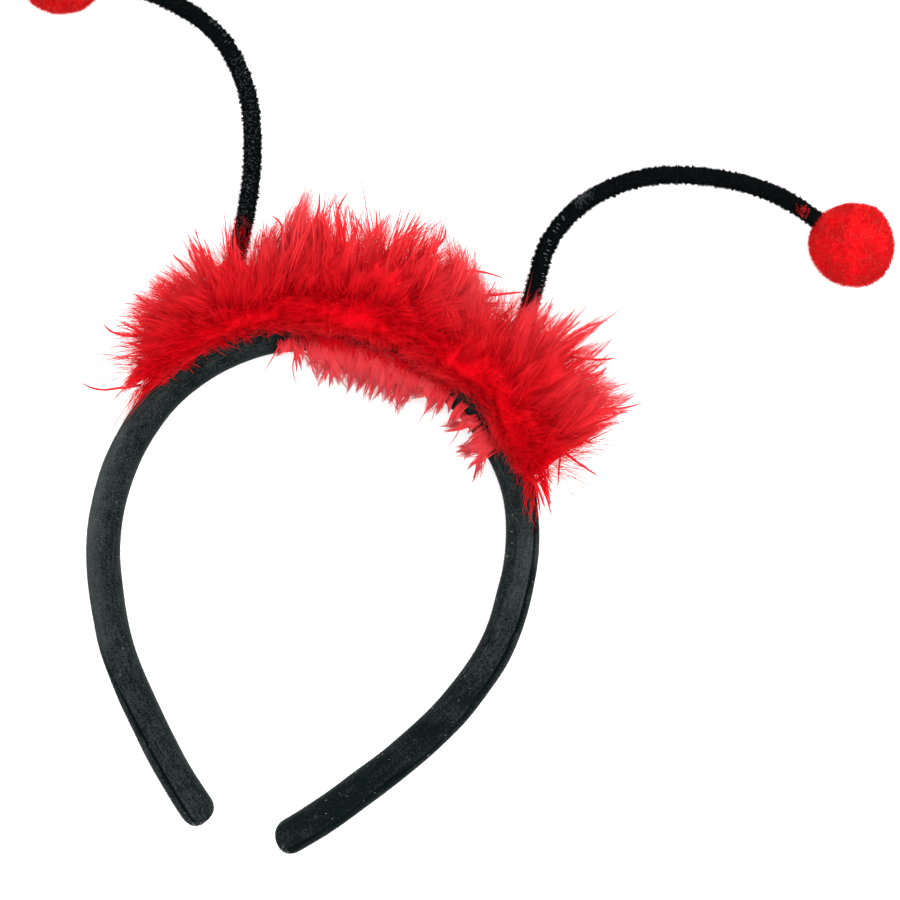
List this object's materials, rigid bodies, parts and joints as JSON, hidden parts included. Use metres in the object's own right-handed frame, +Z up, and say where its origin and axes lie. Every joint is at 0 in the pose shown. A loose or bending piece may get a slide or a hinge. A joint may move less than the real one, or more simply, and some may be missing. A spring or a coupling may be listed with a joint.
{
  "type": "ladybug antenna headband",
  "caption": "Padded U-shaped costume headband with a fluffy feather trim over the crown and two bent chenille feelers ending in round pompoms.",
  "frame": {"origin": "on the surface that the headband lies on, under the middle of its overall box", "axes": "+Y from the band's tips to its crown, +X across the head, +Z up from the surface, towards the front of the worn headband"},
  "size_m": [0.2744, 0.2526, 0.0354],
  "materials": {
    "velour": "matte charcoal velour with a short pile",
    "chenille": "black tinsel-free chenille pile on twisted wire",
    "marabou": "dyed red marabou down, soft and slightly translucent at the tips",
    "acrylic_pile": "bright red acrylic pompom pile, trimmed round"
  },
  "bodies": {
    "root": {"headband": "velour", "marabou_trim": "marabou", "left_feeler_stem": "chenille", "right_feeler_stem": "chenille", "left_pompom": "acrylic_pile", "right_pompom": "acrylic_pile"}
  },
  "joints": []
}
